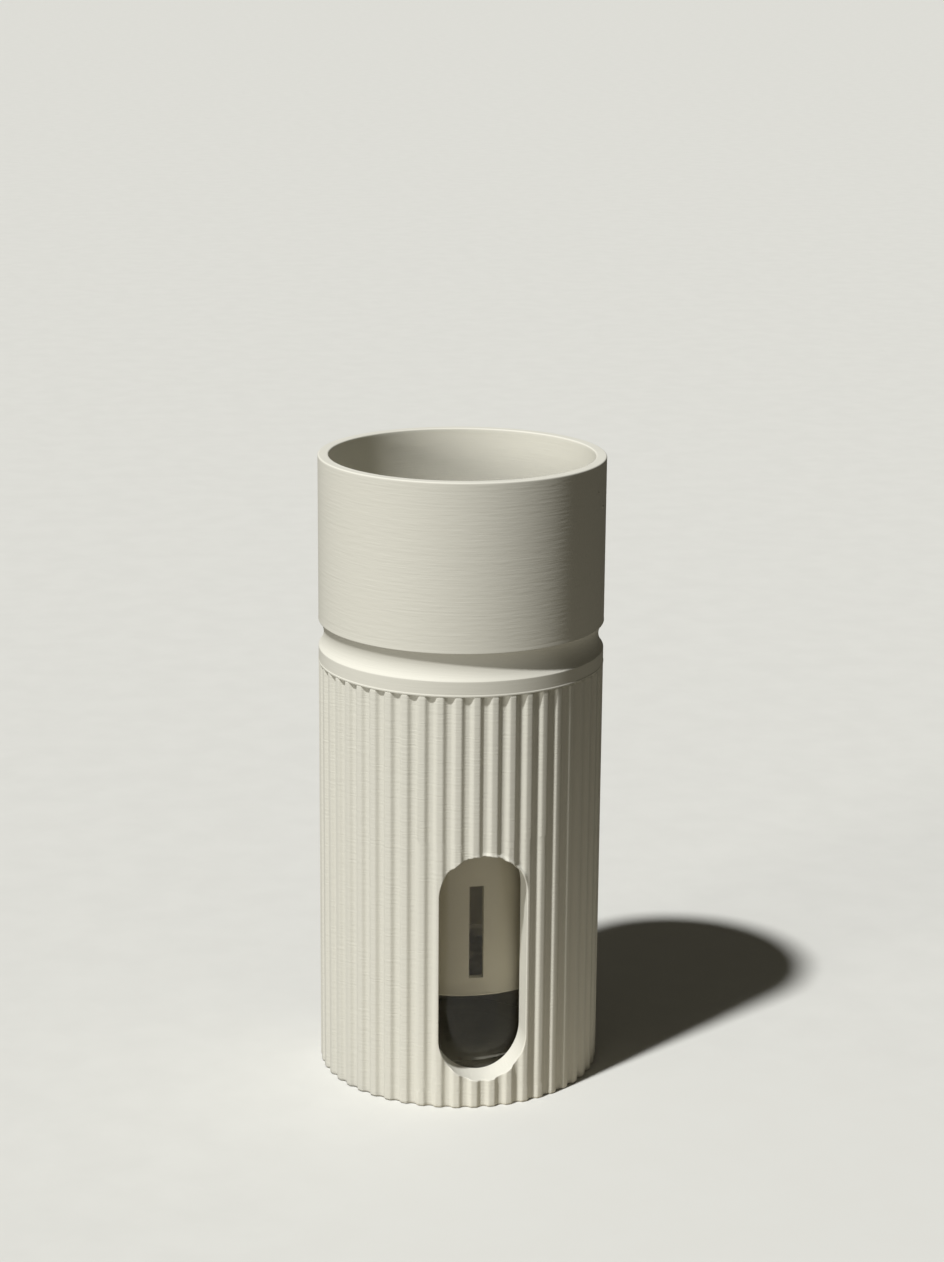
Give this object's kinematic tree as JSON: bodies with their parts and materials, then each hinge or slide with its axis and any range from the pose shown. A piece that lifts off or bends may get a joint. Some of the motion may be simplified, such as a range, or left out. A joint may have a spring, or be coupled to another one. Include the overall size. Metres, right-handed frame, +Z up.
{
  "type": "self-watering pot",
  "caption": "Tall round self-watering pot: fluted printed sleeve with a capsule window, glass water reservoir, smooth planter collar and a slotted basket that hangs into the water.",
  "frame": {"origin": "centre of the pot's underside, on the surface that it stands on", "axes": "+Z up along the pot's axis; -Y is the side that the window faces"},
  "size_m": [0.0804, 0.0804, 0.178],
  "materials": {
    "sleeve_print": "matte warm grey printed plastic with fine layer lines",
    "collar_print": "matte warm grey printed plastic with fine layer lines",
    "basket_print": "matte warm grey printed plastic with fine layer lines",
    "clear_glass": "clear polished glass"
  },
  "bodies": {
    "sleeve": {"fluted_sleeve": "sleeve_print"},
    "glass": {"glass_reservoir": "clear_glass"},
    "collar": {"planter_collar": "collar_print"},
    "basket": {"slotted_basket": "basket_print"}
  },
  "joints": [
    {"name": "glass_lift", "type": "slide", "parent": "sleeve", "child": "glass", "axis": [0, 0, 1], "range_m": [0, 0.13]},
    {"name": "collar_lift", "type": "slide", "parent": "glass", "child": "collar", "axis": [0, 0, 1], "range_m": [0, 0.1]},
    {"name": "basket_lift", "type": "slide", "parent": "collar", "child": "basket", "axis": [0, 0, 1], "range_m": [0, 0.16]}
  ]
}
